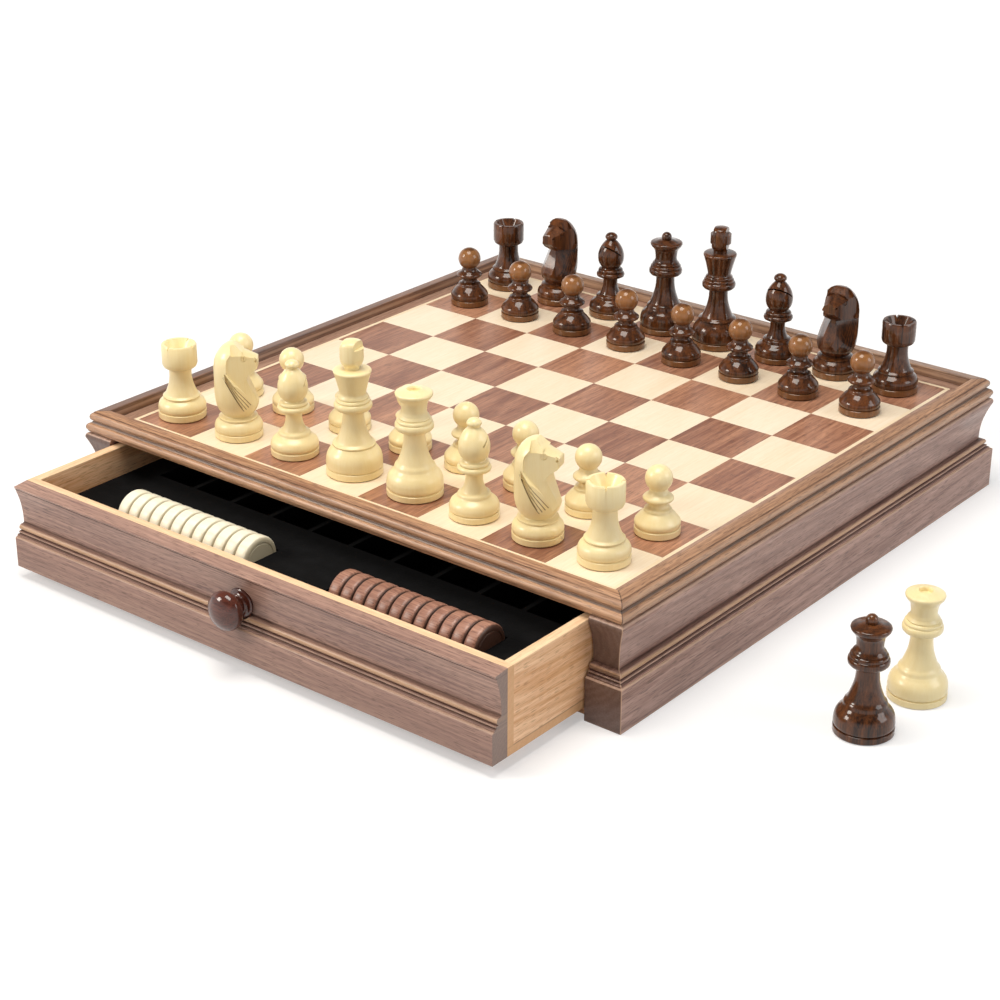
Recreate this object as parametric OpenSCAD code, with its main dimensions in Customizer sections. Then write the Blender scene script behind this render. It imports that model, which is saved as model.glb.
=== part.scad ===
// Chess box with two drawers, chessmen and draughts.
// Millimetres, +Z up. The origin is the centre of the cabinet's footprint on the floor.
// +X is the cabinet's right side, -Y is its front.

/* [Board] */
// Side of one board square
square_size = 42; // [36:0.5:54]
// Height of the playing surface above the floor
board_height = 64; // [56:0.5:80]
// Width of the pale line around the squares
line_width = 2.3; // [1:0.1:4]
// Width of the flat strip between the pale line and the rim
strip_width = 8.3; // [5:0.1:14]
// Thickness of the veneers on the board's core
veneer = 0.6; // [0.5:0.1:2.5]
// Joint between two veneers
veneer_joint = 0.06; // [0.04:0.01:0.2]

/* [Cabinet] */
// Height of the rim above the playing surface
rim_height = 6; // [3:0.1:10]
// Thickness of the side walls at the plinth
wall_thickness = 22.2; // [18:0.1:30]
// Thickness of the base panel
base_thickness = 4.8; // [3:0.1:8]
// Height of the two runner strips
runner_height = 1.5; // [0.8:0.1:3]
// Width of each runner strip
runner_width = 14; // [8:0.5:24]
// Thickness of the board that parts the two drawer bays
divider_thickness = 5; // [3:0.5:8]

/* [Drawers] */
// How far the front drawer stands open
front_open = 70.5; // [0:0.5:150]
// Gap between a drawer and its opening, each side
drawer_gap = 1; // [0.5:0.1:2.5]
// Gap between a drawer and its runners
runner_gap = 0.4; // [0.3:0.05:1]
// Gap between a drawer's top edge and the board
top_gap = 2.6; // [1.6:0.1:5]
// Thickness of the moulded drawer front at the plinth
front_thickness = 11.3; // [8.5:0.1:14]
// Thickness of the pale strip behind the moulded front
inner_front = 4.7; // [4:0.1:8]
// Thickness of the drawer's side and back walls
drawer_wall = 5.7; // [4:0.1:8]
// Thickness of the drawer's bottom board
drawer_bottom = 4.4; // [3:0.1:6]
// Diameter of the knob's ball
knob_diameter = 21.4; // [14:0.5:26]

/* [Tray] */
// Height of the insert's top face above the drawer's bottom board
insert_height = 26.4; // [18:0.2:30]
// Pitch of the recesses for the chessmen
recess_pitch = 29.45; // [24:0.05:34]
// Thickness of the ribs between two recesses
rib = 3; // [2:0.1:5]
// Length of the recesses of the first row
row_one = 40; // [36:0.5:48]

/* [Draughts] */
// Diameter of one draught
draught_diameter = 26; // [20:0.2:30]
// Thickness of one draught
draught_thickness = 8.05; // [5:0.1:9]

/* [Chessmen] */
// Foot diameter of a king
king_base = 31; // [26:0.1:36]
// Foot diameter of a queen
queen_base = 30.6; // [26:0.1:36]
// Foot diameter of a bishop
bishop_base = 26.6; // [22:0.1:32]
// Foot diameter of a knight
knight_base = 27; // [23:0.1:32]
// Foot diameter of a rook
rook_base = 27.4; // [23:0.1:32]
// Foot diameter of a pawn
pawn_base = 24.2; // [20:0.1:28]
// Gap under a standing piece
stand_gap = 0.3; // [0.1:0.05:0.6]

/* [Hidden] */
$fn = 96;
eps = 0.01;
cut = 60;                                    // reach of the cutting bodies past a face
walnut = [0.48, 0.34, 0.28];
walnut_dark = [0.30, 0.18, 0.12];
maple = [0.93, 0.83, 0.68];
beech = [0.85, 0.68, 0.49];
flock = [0.08, 0.08, 0.08];
cream = [0.94, 0.90, 0.74];
steel = [0.70, 0.70, 0.72];

field = 4 * square_size;                     // half the playing field
line_out = field + line_width;
rim_in = line_out + strip_width;             // inner wall of the rim
wall_in = field + 1.3;                       // inner face of the side walls
wall_out = wall_in + wall_thickness;         // plinth face
wall_top = board_height - 6.8;               // top of the side walls
core_top = board_height - veneer;
rim_top = board_height + rim_height;
run_reach = wall_out + 10;

// heights and depths of the wall moulding
plinth = 24.3;
bead_r = 1.75;
cove_h = plinth + 7;
lip_h = wall_top - 2.9;
cove_a = wall_out - 6.7;                     // deepest line of the cove
lip_a = wall_out - 1.85;

// drawer, closed: front at -Y
drawer_half = wall_in - drawer_gap;
drawer_low = base_thickness + runner_height + runner_gap;
drawer_high = wall_top - top_gap;
face_back = wall_out - front_thickness;
inner_face = face_back - inner_front;        // tray side of the pale strip
drawer_end = divider_thickness / 2 + 0.9;    // back of the drawer
tray_end = drawer_end + drawer_wall;
tray_half = drawer_half - drawer_wall;
floor_h = drawer_low + drawer_bottom;
insert_top = floor_h + insert_height;
knob_h = 36;
knob_face = cove_a + 0.2;
knob_r = knob_diameter / 2;
knob_seat = 8.4;
screw_r = 2;

// insert: draughts lie in two troughs, chessmen in two rows of recesses
draught_r = draught_diameter / 2;
draught_pitch = draught_thickness + 0.05;
stack = 12 * draught_pitch - 0.05;
draught_h = insert_top - 1;
trough_floor = draught_h - draught_r - 0.3;
trough_y = inner_face - 30.2;                  // centre line of the troughs
trough_w = draught_r + 0.7;
trough_in = 25.5;                            // end of a trough nearest the middle
trough_out = trough_in + stack + 7.3;
row_start = inner_face - 71.2;
row_split = row_start - row_one;
row_two = row_split - rib;
row_end = tray_end + 6;
joint = 0.1;                                 // gap between two blocks of the insert

piece_h = board_height + stand_gap;

// ---- helpers ----
function arc(cx, cy, r, a0, a1, n = 6) =
    [for (i = [0:n]) let (a = a0 + (a1 - a0) * i / n) [cx + r * cos(a), cy + r * sin(a)]];
function foot(r, h) =
    [[r - 0.5, 0], [r, 0.5], [r, h - 0.5], [r - 0.4, h - 0.1], [r - 0.9, h], [r - 0.9, h + 0.3], [r - 0.4, h + 0.4]];
function shoulder(r, h0, h1, c) =
    concat([[r - 0.1, h0 + 0.5], [r, h0 + 1.6]],
        [for (p = [[0.06, 0.42], [0.22, 0.62], [0.48, 0.77], [0.78, 0.89], [1, 1]]) [r - c * p[0], h0 + (h1 - h0) * p[1]]]);
function bow(p, q, s, n = 5) =
    [for (i = [0:n]) let (t = i / n) [p[0] + (q[0] - p[0]) * t - s * sin(180 * t), p[1] + (q[1] - p[1]) * t]];

module turned(pts)
    rotate_extrude() polygon(concat([[0, 0]], pts, [[0, pts[len(pts) - 1][1]]]));

// the k-th of four mitred runs around the cabinet: 0 right, 1 rear, 2 left, 3 front
module run(k)
    rotate([0, 0, 90 * k])
        intersection() {
            rotate([90, 0, 0]) linear_extrude(height = 2 * run_reach, center = true) children();
            translate([0, 0, -1]) linear_extrude(height = rim_top + 2)
                polygon([[0, 0], [run_reach, -run_reach], [run_reach, run_reach]]);
        }

module box3(x0, x1, y0, y1, z0, z1)
    translate([x0, y0, z0]) cube([x1 - x0, y1 - y0, z1 - z0]);

// square [u, v] counts from the front left corner, as [0, 0]
module on_square(u, v, turn = 0)
    translate([(u - 4) * square_size, (v - 4) * square_size, piece_h]) rotate([0, 0, turn]) children();

// ---- mouldings ----
module wall_2d() {
    o = wall_out;
    polygon(concat(
        [[wall_in, 0], [o, 0], [o, plinth - 0.5], [o - 0.4, plinth], [o - 1.5, plinth + 0.2], [o - 1.5, plinth + 0.9],
         [o - 1.9, plinth + 1.2], [o - 3.4, plinth + 1.3], [o - 3.4, plinth + 1.6], [o - 2.7, plinth + 1.8],
         [o - 2.7, plinth + 2.4], [o - 3.1, plinth + 2.7], [o - 5, plinth + 2.8], [o - 5, cove_h - 0.8], [cove_a, cove_h - 0.4]],
        [for (i = [0:14]) let (t = i / 14)
            [cove_a + (lip_a - cove_a) * pow(t, 2.6) * (1.5 - 0.5 * t), cove_h + (lip_h - cove_h) * t]],
        [[lip_a, wall_top - 1.9], [lip_a - 0.2, wall_top - 1.1], [lip_a - 0.5, wall_top - 0.6], [lip_a - 1, wall_top - 0.2],
         [lip_a - 1.6, wall_top], [wall_in, wall_top]]));
    translate([o - 5, plinth + 4.65]) circle(r = bead_r);
}

module rim_2d() {
    i = rim_in;
    polygon([[i, wall_top], [i + 8.6, wall_top], [i + 8.6, wall_top + 0.5], [i + 9.6, wall_top + 0.8],
        [i + 9.8, wall_top + 1.2], [i + 8.6, rim_top - 6.8], [i + 7.7, rim_top - 6.2], [i + 7.4, rim_top - 5.8],
        [i + 7.4, rim_top - 1.4], [i + 7, rim_top - 0.9], [i + 7, rim_top - 0.5], [i + 6, rim_top], [i + 0.5, rim_top],
        [i, rim_top - 0.5]]);
    translate([i + 8, wall_top + 3.4]) circle(r = 2.6);
    translate([i + 6.1, rim_top - 3.4]) circle(r = 2.75);
}

// ---- cabinet ----
module base_panel() color(beech)
    box3(-wall_in, wall_in, -wall_out + 5, wall_out - 5, 0, base_thickness);

module left_wall() color(walnut) run(2) wall_2d();
module right_wall() color(walnut) run(0) wall_2d();

module post(k, side) color(walnut)
    intersection() {
        run(k) wall_2d();
        if (side > 0) box3(wall_in, run_reach, -run_reach, run_reach, -1, wall_top + 1);
        else box3(-run_reach, -wall_in, -run_reach, run_reach, -1, wall_top + 1);
    }

module front_left_post() post(3, -1);
module front_right_post() post(3, 1);
module rear_left_post() post(1, -1);
module rear_right_post() post(1, 1);

module right_rim() color(walnut) run(0) rim_2d();
module rear_rim() color(walnut) run(1) rim_2d();
module left_rim() color(walnut) run(2) rim_2d();
module front_rim() color(walnut) run(3) rim_2d();

module board_core() color(beech)
    box3(-rim_in, rim_in, -rim_in, rim_in, wall_top, core_top);

module squares(odd)
    for (u = [0:7], v = [0:7])
        if ((u + v) % 2 == odd)
            box3((u - 4) * square_size + veneer_joint / 2, (u - 3) * square_size - veneer_joint / 2,
                (v - 4) * square_size + veneer_joint / 2, (v - 3) * square_size - veneer_joint / 2, core_top, board_height);

module dark_squares() color(walnut) squares(0);
module light_squares() color(maple) squares(1);

module ring_strip(a, b)
    difference() {
        box3(-b, b, -b, b, core_top, board_height);
        box3(-a, a, -a, a, core_top - 1, board_height + 1);
    }

module maple_line() color(maple) ring_strip(field, line_out);
module walnut_strip() color(walnut) ring_strip(line_out, rim_in);

module runners() color(beech)
    for (s = [-1, 1])
        translate([s * (drawer_half - runner_width / 2), 0, base_thickness])
            for (t = [-1, 1])
                translate([-runner_width / 2, t > 0 ? drawer_end : -inner_face, 0])
                    cube([runner_width, inner_face - drawer_end, runner_height]);

module bay_divider() color(beech)
    box3(-wall_in, wall_in, -divider_thickness / 2, divider_thickness / 2, base_thickness, wall_top);

// ---- drawers, drawn closed at the front ----
module drawer_front() color(walnut)
    difference() {
        rotate([0, 0, -90]) rotate([90, 0, 0])
            linear_extrude(height = 2 * drawer_half, center = true)
                difference() {
                    intersection() {
                        wall_2d();
                        polygon([[face_back, drawer_low], [wall_out + 1, drawer_low], [wall_out + 1, drawer_high - 1.2],
                            [face_back, drawer_high]]);
                    }
                    translate([lip_a - 1.5, lip_h - 2.4]) square([3, 0.4]);
                }
        translate([0, -knob_face, knob_h]) rotate([90, 0, 0]) cylinder(r = knob_seat, h = cut);
        translate([0, 0, knob_h]) rotate([90, 0, 0]) cylinder(r = screw_r + 0.1, h = run_reach);
    }

module drawer_inner() color(beech)
    difference() {
        box3(-drawer_half, drawer_half, -face_back, -inner_face, drawer_low, drawer_high);
        translate([0, -inner_face + 1, knob_h]) rotate([90, 0, 0]) cylinder(r = screw_r + 0.1, h = cut);
        translate([0, -inner_face + 1, knob_h]) rotate([90, 0, 0]) cylinder(r = 4.3, h = 3.9);
    }

module drawer_left() color(beech)
    box3(-drawer_half, -tray_half, -inner_face, -drawer_end, floor_h, drawer_high);
module drawer_right() color(beech)
    box3(tray_half, drawer_half, -inner_face, -drawer_end, floor_h, drawer_high);
module drawer_back() color(beech)
    box3(-tray_half, tray_half, -tray_end, -drawer_end, floor_h, drawer_high);
module drawer_floor() color(beech)
    box3(-drawer_half, drawer_half, -inner_face, -drawer_end, drawer_low, floor_h);

module drawer_knob() color(walnut_dark)
    translate([0, -knob_face, knob_h]) rotate([90, 0, 0])
        difference() {
            rotate_extrude()
                polygon(concat(
                    [[0, 0], [7.4, 0], [8, 0.4], [8.1, 1.3], [7.5, 1.9], [6, 2.3], [5.4, 2.8], [5.7, 3.2], [5.4, 3.8],
                     [4.4, 4.2], [4.2, 5.4]],
                    [for (a = [-62:9.5:90]) [knob_r * cos(a), 5.05 + knob_r * (0.65 + 0.62 * sin(a))]]));
            translate([0, 0, -1]) cylinder(r = screw_r + 0.05, h = 12);
        }

module knob_screw() color(steel)
    translate([0, -inner_face, knob_h]) rotate([90, 0, 0])
        difference() {
            union() {
                translate([0, 0, 0.5]) cylinder(r = 3.9, h = 2.3);
                translate([0, 0, 2.5]) cylinder(r = screw_r, h = knob_face - inner_face + 7);
            }
            for (a = [0, 90])
                rotate([0, 0, a]) translate([-2.4, -0.4, -1]) cube([4.8, 0.8, 2.6]);
        }

// ---- front drawer's insert ----
module insert_bed() color(flock)
    box3(-tray_half, tray_half, -inner_face, -tray_end, floor_h, trough_floor);

module insert_land() color(flock) {
    lo = trough_floor;
    box3(-tray_half, tray_half, -inner_face, -trough_y - trough_w, lo, insert_top);
    box3(-tray_half, tray_half, -trough_y + trough_w, -row_start, lo, insert_top);
    for (s = [-1, 1])
        box3(s > 0 ? trough_out : -tray_half, s > 0 ? tray_half : -trough_out,
            -trough_y - trough_w + joint, -trough_y + trough_w - joint, lo, insert_top);
    box3(-trough_in, trough_in, -trough_y - trough_w + joint, -trough_y + trough_w - joint, lo, insert_top);
}

module insert_ribs() color(flock) {
    lo = trough_floor;
    for (i = [-4:4])
        translate([i * recess_pitch - rib / 2, 0, lo]) {
            translate([0, -row_start + joint, 0]) cube([rib, row_one - 2 * joint, insert_top - lo]);
            translate([0, -row_two + joint, 0]) cube([rib, row_two - row_end - 2 * joint, insert_top - lo]);
        }
    box3(-tray_half, tray_half, -row_split, -row_two, lo, insert_top);
    box3(-tray_half, tray_half, -row_end, -tray_end, lo, insert_top);
    for (s = [-1, 1], r = [[row_start, row_split], [row_two, row_end]])
        box3(s > 0 ? 5 * recess_pitch - rib / 2 : -tray_half, s > 0 ? tray_half : rib / 2 - 5 * recess_pitch,
            -r[0] + joint, -r[1] - joint, lo, insert_top);
}

// ---- rear drawer's lining: flocked bed with one cross of partitions ----
module tray_lining() color(flock) {
    box3(-tray_half, tray_half, -inner_face, -tray_end, floor_h, floor_h + 1.4);
    lo = floor_h + 1.5;
    mid = (inner_face + tray_end) / 2;
    box3(-tray_half, tray_half, -mid - rib / 2, -mid + rib / 2, lo, insert_top);
    box3(-rib / 2, rib / 2, -inner_face, -mid - rib / 2 - joint, lo, insert_top);
    box3(-rib / 2, rib / 2, -mid + rib / 2 + joint, -tray_end, lo, insert_top);
}

module at_front() translate([0, -front_open, 0]) children();
module at_rear() rotate([0, 0, 180]) children();

module front_drawer_face() at_front() drawer_front();
module front_drawer_inner() at_front() drawer_inner();
module front_drawer_left() at_front() drawer_left();
module front_drawer_right() at_front() drawer_right();
module front_drawer_back() at_front() drawer_back();
module front_drawer_floor() at_front() drawer_floor();
module front_drawer_knob() at_front() drawer_knob();
module front_drawer_screw() at_front() knob_screw();
module front_insert_bed() at_front() insert_bed();
module front_insert_land() at_front() insert_land();
module front_insert_ribs() at_front() insert_ribs();
module rear_drawer_face() at_rear() drawer_front();
module rear_drawer_inner() at_rear() drawer_inner();
module rear_drawer_left() at_rear() drawer_left();
module rear_drawer_right() at_rear() drawer_right();
module rear_drawer_back() at_rear() drawer_back();
module rear_drawer_floor() at_rear() drawer_floor();
module rear_drawer_knob() at_rear() drawer_knob();
module rear_drawer_screw() at_rear() knob_screw();
module rear_drawer_lining() at_rear() tray_lining();

// ---- draughts ----
module draught() {
    r = draught_r;
    t = draught_thickness;
    rotate_extrude()
        polygon([[0, 0], [r - 4.2, 0], [r - 3.9, 0.4], [r - 3.3, 0.4], [r - 3, 0], [r - 2, 0], [r - 0.8, 0.5], [r - 0.2, 1.3],
            [r, 2.3], [r, t - 2.3], [r - 0.2, t - 1.3], [r - 0.8, t - 0.5], [r - 2, t], [r - 3, t], [r - 3.3, t - 0.4],
            [r - 3.9, t - 0.4], [r - 4.2, t], [0, t]]);
}

module draught_row(x)
    at_front()
        for (i = [0:11])
            translate([x + i * draught_pitch, -trough_y, draught_h]) rotate([0, 90, 0]) draught();

module light_draughts() color(cream) draught_row(-trough_in - 0.4 - stack);
module dark_draughts() color(walnut_dark) draught_row(trough_out - 0.4 - stack);

// ---- chessmen, each standing at the origin ----
module pawn() {
    r = pawn_base / 2;
    turned(concat(foot(r, 4),
        [[r - 0.1, 4.9], [r, 6.3], [r - 0.3, 7.4], [r - 1, 8.3], [9.6, 10.2], [8, 11.7], [7.4, 12.2], [7.2, 12.6],
         [7.3, 13.2], [6.9, 13.9], [6, 14.3]],
        bow([5.3, 14.6], [4.7, 17.4], 0.3, 3),
        [[5.6, 17.8], [7.5, 18.3], [8.05, 19.1], [8, 19.9], [7.3, 20.7], [6, 21.6], [5.1, 22.4], [4.8, 23.6]],
        arc(0, 30.2, 7.2, -52, 89, 14)));
}

module rook(turn = 0) {
    r = rook_base / 2;
    rotate([0, 0, turn])
        difference() {
            turned(concat(foot(r, 4.2), shoulder(r, 4.7, 11.8, 3.6),
                [[r - 3.2, 12], [r - 3.1, 12.8], [r - 3.7, 13.4], [9.4, 13.7]],
                bow([9.1, 14.2], [6.4, 29], 1.1, 6),
                [[7, 29.4], [8.4, 29.9], [9.3, 30.6], [9.6, 31.3], [9.6, 31.7], [9.9, 32], [10, 32.4], [10, 43.1],
                 [9.5, 43.8], [8.2, 43.8]]));
            translate([0, 0, 37.4]) cylinder(r1 = 4.2, r2 = 8.1, h = 6.5);
            for (a = [0:90:270])
                rotate([0, 0, a]) translate([6, 0, 43.9]) rotate([0, 90, 0])
                    linear_extrude(height = 6) polygon([[-1, -1.1], [2, 0], [-1, 1.1]]);
        }
}

module bishop(turn = 0) {
    r = bishop_base / 2;
    rotate([0, 0, turn])
        difference() {
            turned(concat(foot(r, 3.8), shoulder(r, 4.2, 11.6, 4.4),
                [[8.8, 11.9], [8.8, 12.8], [8.3, 13.6], [6.9, 14]],
                bow([6.6, 14.4], [4.7, 24.6], 0.9, 6),
                [[5, 25.3], [7.4, 25.6], [8.7, 26.3], [9, 27.3], [8.8, 28.2], [8.1, 28.8], [7.6, 29], [7.9, 29.5],
                 [7.8, 30.5], [7.2, 31.1], [6.1, 31.4], [5.8, 31.9], [5.9, 32.4], [6.6, 33.2], [7.4, 34.4], [8, 36],
                 [8.3, 37.8], [8.35, 39.4], [8.2, 41], [7.8, 42.7], [7.2, 44.4], [6.3, 46], [5.3, 47.5], [4.2, 48.8],
                 [3.3, 49.7], [2.9, 50.2], [3.3, 50.6], [3.85, 51.3], [4, 52.1], [3.7, 53], [3, 53.8], [1.9, 54.5],
                 [0.6, 54.8]]));
            translate([0, -12, 41]) rotate([0, -38, 0]) translate([-0.6, 0, 0]) cube([16, 24, 0.9]);
        }
}

// the crown ends in a ball, or in a domed rim round a drilled hole
module queen(ball = true) {
    r = queen_base / 2;
    turned(concat(foot(r, 3.9), shoulder(r, 4.3, 15, 4),
        [[r - 4.2, 15.3], [r - 4.4, 16.4], [r - 4.7, 17.2], [9.9, 17.9]],
        bow([9.4, 18.5], [5.8, 36.2], 1.2, 7),
        [[7.4, 36.6], [9.5, 37.2], [10.3, 38.2], [10.4, 39.3], [10.3, 40.3], [9.9, 41], [9.4, 41.3], [9.6, 41.9],
         [9.4, 42.7], [8.8, 43.1], [8.3, 43.4], [8.5, 44.1], [8.1, 44.8], [7.4, 45.3], [7.1, 46.2], [6.75, 47]],
        bow([6.7, 47.6], [7.2, 52], 0.1, 3),
        [[7.7, 53.3], [8.6, 54.5], [9.4, 55.4], [9.9, 56.2], [10.1, 57], [9.9, 57.7], [9.3, 58.1]],
        ball
            ? concat([[8.3, 58.2], [6.5, 58.6], [4.4, 59.3]], arc(0, 61, 3.2, -28, 86, 8))
            : [[8.4, 58.2], [6.5, 58.7], [4.6, 59.6], [3.8, 59.6], [3.4, 59.2], [3.1, 57.4], [0.3, 57.2]]));
}

module king(turn = 0) {
    r = king_base / 2;
    turned(concat(foot(r, 4.1), shoulder(r, 4.6, 16.4, 4),
        [[r - 3.9, 16.6], [r - 3.8, 17.4], [r - 4.4, 18.1], [10, 18.5]],
        bow([9.6, 19], [5.8, 36.2], 1.2, 7),
        [[7.2, 36.7], [9.4, 37.3], [10.2, 38.2], [10.4, 39.3], [10.3, 40.4], [9.8, 41.2], [9.2, 41.5], [9.4, 42],
         [9.2, 42.8], [8.7, 43.2], [8.3, 43.4], [8.5, 44], [8.2, 44.8], [7.6, 45.3], [7.2, 46]],
        bow([7.2, 46.8], [10, 57.6], 0.15, 5),
        [[10.3, 58.3], [10.3, 59], [9.8, 59.6], [8.4, 59.8], [4.2, 60], [0.4, 60]]));
    rotate([0, 0, turn])
        difference() {
            translate([0, 0, 59.4])
                turned([[4.2, 0], [4.4, 2.4], [5.4, 3.4], [6.3, 4.8], [6.45, 6.4], [6.45, 13], [6.2, 14.6], [5.4, 15.8],
                    [3.8, 16.5], [1.5, 16.8]]);
            for (s = [-1, 1]) {
                translate([s * 7.9 - 4, -9, 71.8]) cube([8, 18, 6]);
                translate([s * 8.6 - 4, -9, 59]) cube([8, 18, 7]);
            }
        }
}

// the knight's head looks along +X
module knight_foot() {
    r = knight_base / 2;
    turned(concat(foot(r, 4), shoulder(r, 4.5, 11, 3),
        [[r - 2.6, 11.1], [r - 2.6, 11.9], [9.8, 12.4], [8.6, 12.8], [8.2, 13.3], [8.2, 14]]));
}

module knight_side()
    polygon([[-16, 12.6], [-16, 46.6], [-12.3, 46.6], [-11, 49.6], [-9, 52], [-6.4, 54], [-3.6, 55.1], [-1, 55.3], [0.6, 54.7],
        [1.8, 53.3], [3, 52], [4.6, 51.1], [8, 49.4], [11.8, 47.6], [12.3, 46.8], [12.3, 41.8], [11.4, 40.7], [8.8, 38.9],
        [6.9, 37.4], [6, 35.8], [6.4, 33.6], [8, 29.8], [10.2, 25], [11.8, 20.8], [12, 18.4], [11.3, 16.2], [9.6, 14],
        [8.4, 12.6]]);

module knight_core() {
    intersection() {
        rotate([90, 0, 0]) linear_extrude(height = 30, center = true) knight_side();
        turned([[8.2, 0], [8.2, 13], [9.2, 14.4], [10.8, 16.6], [11.8, 19.5], [12.4, 23], [12.6, 27], [12.5, 41], [12, 45],
            [10.8, 48.4], [9.2, 51], [7.2, 53.2], [4.8, 54.8], [2.4, 55.5]]);
    }
    intersection() {
        rotate([90, 0, 0]) linear_extrude(height = 7.4, center = true) knight_side();
        box3(7, 15, -6, 6, 37, 50);
    }
}

// origin at the eye, on the flat of the cheek; s is the side, +1 or -1 along Y
module on_cheek(s)
    translate([4.9, s * 6.3, 47.7]) rotate([0, 0, -s * 20]) rotate([s * 4, 0, 0]) children();

module cheek_cut(s)
    intersection() {
        rotate([90, 0, 0]) linear_extrude(height = 40, center = true)
            polygon([[2.6, 62], [2.4, 54.6], [-1.4, 51.6], [-3.9, 48.4], [-4.5, 46], [-4.4, 40], [-1, 35], [2.3, 31.2],
                [6.6, 25.4], [10.7, 19.6], [13, 17.4], [17, 17.4], [17, 62]]);
        on_cheek(s) box3(-25, 25, s > 0 ? 0 : -30, s > 0 ? 30 : 0, -50, 20);
    }

module eye_cut(s)
    on_cheek(s) {
        rotate([90, 0, 0])
            difference() {
                cylinder(r = 1.75, h = 1, center = true);
                cylinder(r = 1.2, h = 2, center = true);
            }
        cube([0.5, 1.2, 2.2], center = true);
    }

module bridge_cut(s)
    translate([9, s * 2.4, 49]) rotate([0, 26, 0]) rotate([-s * 24, 0, 0])
        box3(-5, 4, s > 0 ? 0 : -12, s > 0 ? 12 : 0, 0, 10);

module temple_cut(s)
    translate([4.9, s * 6.2, 49.4]) rotate([0, 0, -s * 12]) rotate([s * 33, 0, 0])
        box3(-7, 12, s > 0 ? 0 : -14, s > 0 ? 14 : 0, 0, 12);

module chest_cut(s)
    translate([12.1, s * 3.2, 19]) rotate([0, -13, 0]) rotate([0, 0, s * 45]) box3(0, 12, -14, 14, -8, 17);

module mane_cut(s)
    for (i = [0:3])
        difference() {
            translate([0.15 * i - 5.6, 0, 40.2 - 1.3 * i]) rotate([0, 55.5 + 2 * i, 0])
                translate([0, s > 0 ? 2 : -16, -0.3]) cube([25.5 - 2.4 * i, 14, 0.6]);
            cylinder(r = 11.5, h = 60);
        }

module knight(turn = 0)
    rotate([0, 0, turn]) {
        knight_foot();
        difference() {
            knight_core();
            for (s = [-1, 1]) {
                cheek_cut(s);
                eye_cut(s);
                bridge_cut(s);
                temple_cut(s);
                chest_cut(s);
                mane_cut(s);
                translate([11.2, s * 3.7, 45.4]) rotate([90, 0, 0]) cylinder(r = 0.7, h = 1.4, center = true);
            }
        }
    }

module light_king() color(cream) on_square(3.46, 0.55) king(12);
module light_queen() color(cream) on_square(4.50, 0.54) queen(false);
module light_bishop_left() color(cream) on_square(2.44, 0.51) bishop(95);
module light_bishop_right() color(cream) on_square(5.50, 0.50) bishop(80);
module light_knight_left() color(cream) on_square(1.44, 0.48) knight(40);
module light_knight_right() color(cream) on_square(6.50, 0.50) knight(18);
module light_rook_left() color(cream) on_square(0.36, 0.48) rook(8);
module light_rook_right() color(cream) on_square(7.50, 0.50) rook(-54);
module light_pawns() color(cream)
    for (p = [[0.43, 1.57], [1.37, 1.60], [2.42, 1.60], [3.50, 1.60], [4.46, 1.60], [5.44, 1.60], [6.50, 1.51], [7.54, 1.54]])
        on_square(p[0], p[1]) pawn();

module dark_king() color(walnut_dark) on_square(4.46, 7.44) king(20);
module dark_queen() color(walnut_dark) on_square(3.49, 7.46) queen();
module dark_bishop_left() color(walnut_dark) on_square(2.46, 7.48) bishop(-100);
module dark_bishop_right() color(walnut_dark) on_square(5.48, 7.49) bishop(-80);
module dark_knight_left() color(walnut_dark) on_square(1.47, 7.46) knight(270);
module dark_knight_right() color(walnut_dark) on_square(6.46, 7.51) knight(274);
module dark_rook_left() color(walnut_dark) on_square(0.43, 7.52) rook(15);
module dark_rook_right() color(walnut_dark) on_square(7.45, 7.51) rook(-50);
module dark_pawns() color(walnut_dark) for (u = [0:7]) on_square(u + 0.47, 6.50) pawn();

// two more queens stand on the floor beside the cabinet
module spare_dark_queen() color(walnut_dark) translate([wall_out + 90, -113, 0]) queen();
module spare_light_queen() color(cream) translate([wall_out + 93.4, -66, 0]) queen(false);

base_panel();
left_wall();
right_wall();
front_left_post();
front_right_post();
rear_left_post();
rear_right_post();
right_rim();
rear_rim();
left_rim();
front_rim();
board_core();
dark_squares();
light_squares();
maple_line();
walnut_strip();
runners();
bay_divider();
front_drawer_face();
front_drawer_inner();
front_drawer_left();
front_drawer_right();
front_drawer_back();
front_drawer_floor();
front_drawer_knob();
front_drawer_screw();
front_insert_bed();
front_insert_land();
front_insert_ribs();
rear_drawer_face();
rear_drawer_inner();
rear_drawer_left();
rear_drawer_right();
rear_drawer_back();
rear_drawer_floor();
rear_drawer_knob();
rear_drawer_screw();
rear_drawer_lining();
light_draughts();
dark_draughts();
light_king();
light_queen();
light_bishop_left();
light_bishop_right();
light_knight_left();
light_knight_right();
light_rook_left();
light_rook_right();
light_pawns();
dark_king();
dark_queen();
dark_bishop_left();
dark_bishop_right();
dark_knight_left();
dark_knight_right();
dark_rook_left();
dark_rook_right();
dark_pawns();
spare_dark_queen();
spare_light_queen();
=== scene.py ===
"""Chess box with drawers: timber finishes, flocked trays, turned chessmen and a plain studio."""

import logging
import math
from dataclasses import dataclass, replace
from enum import Enum

import bmesh
import bpy
from mathutils import Euler, Matrix, Vector


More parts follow.
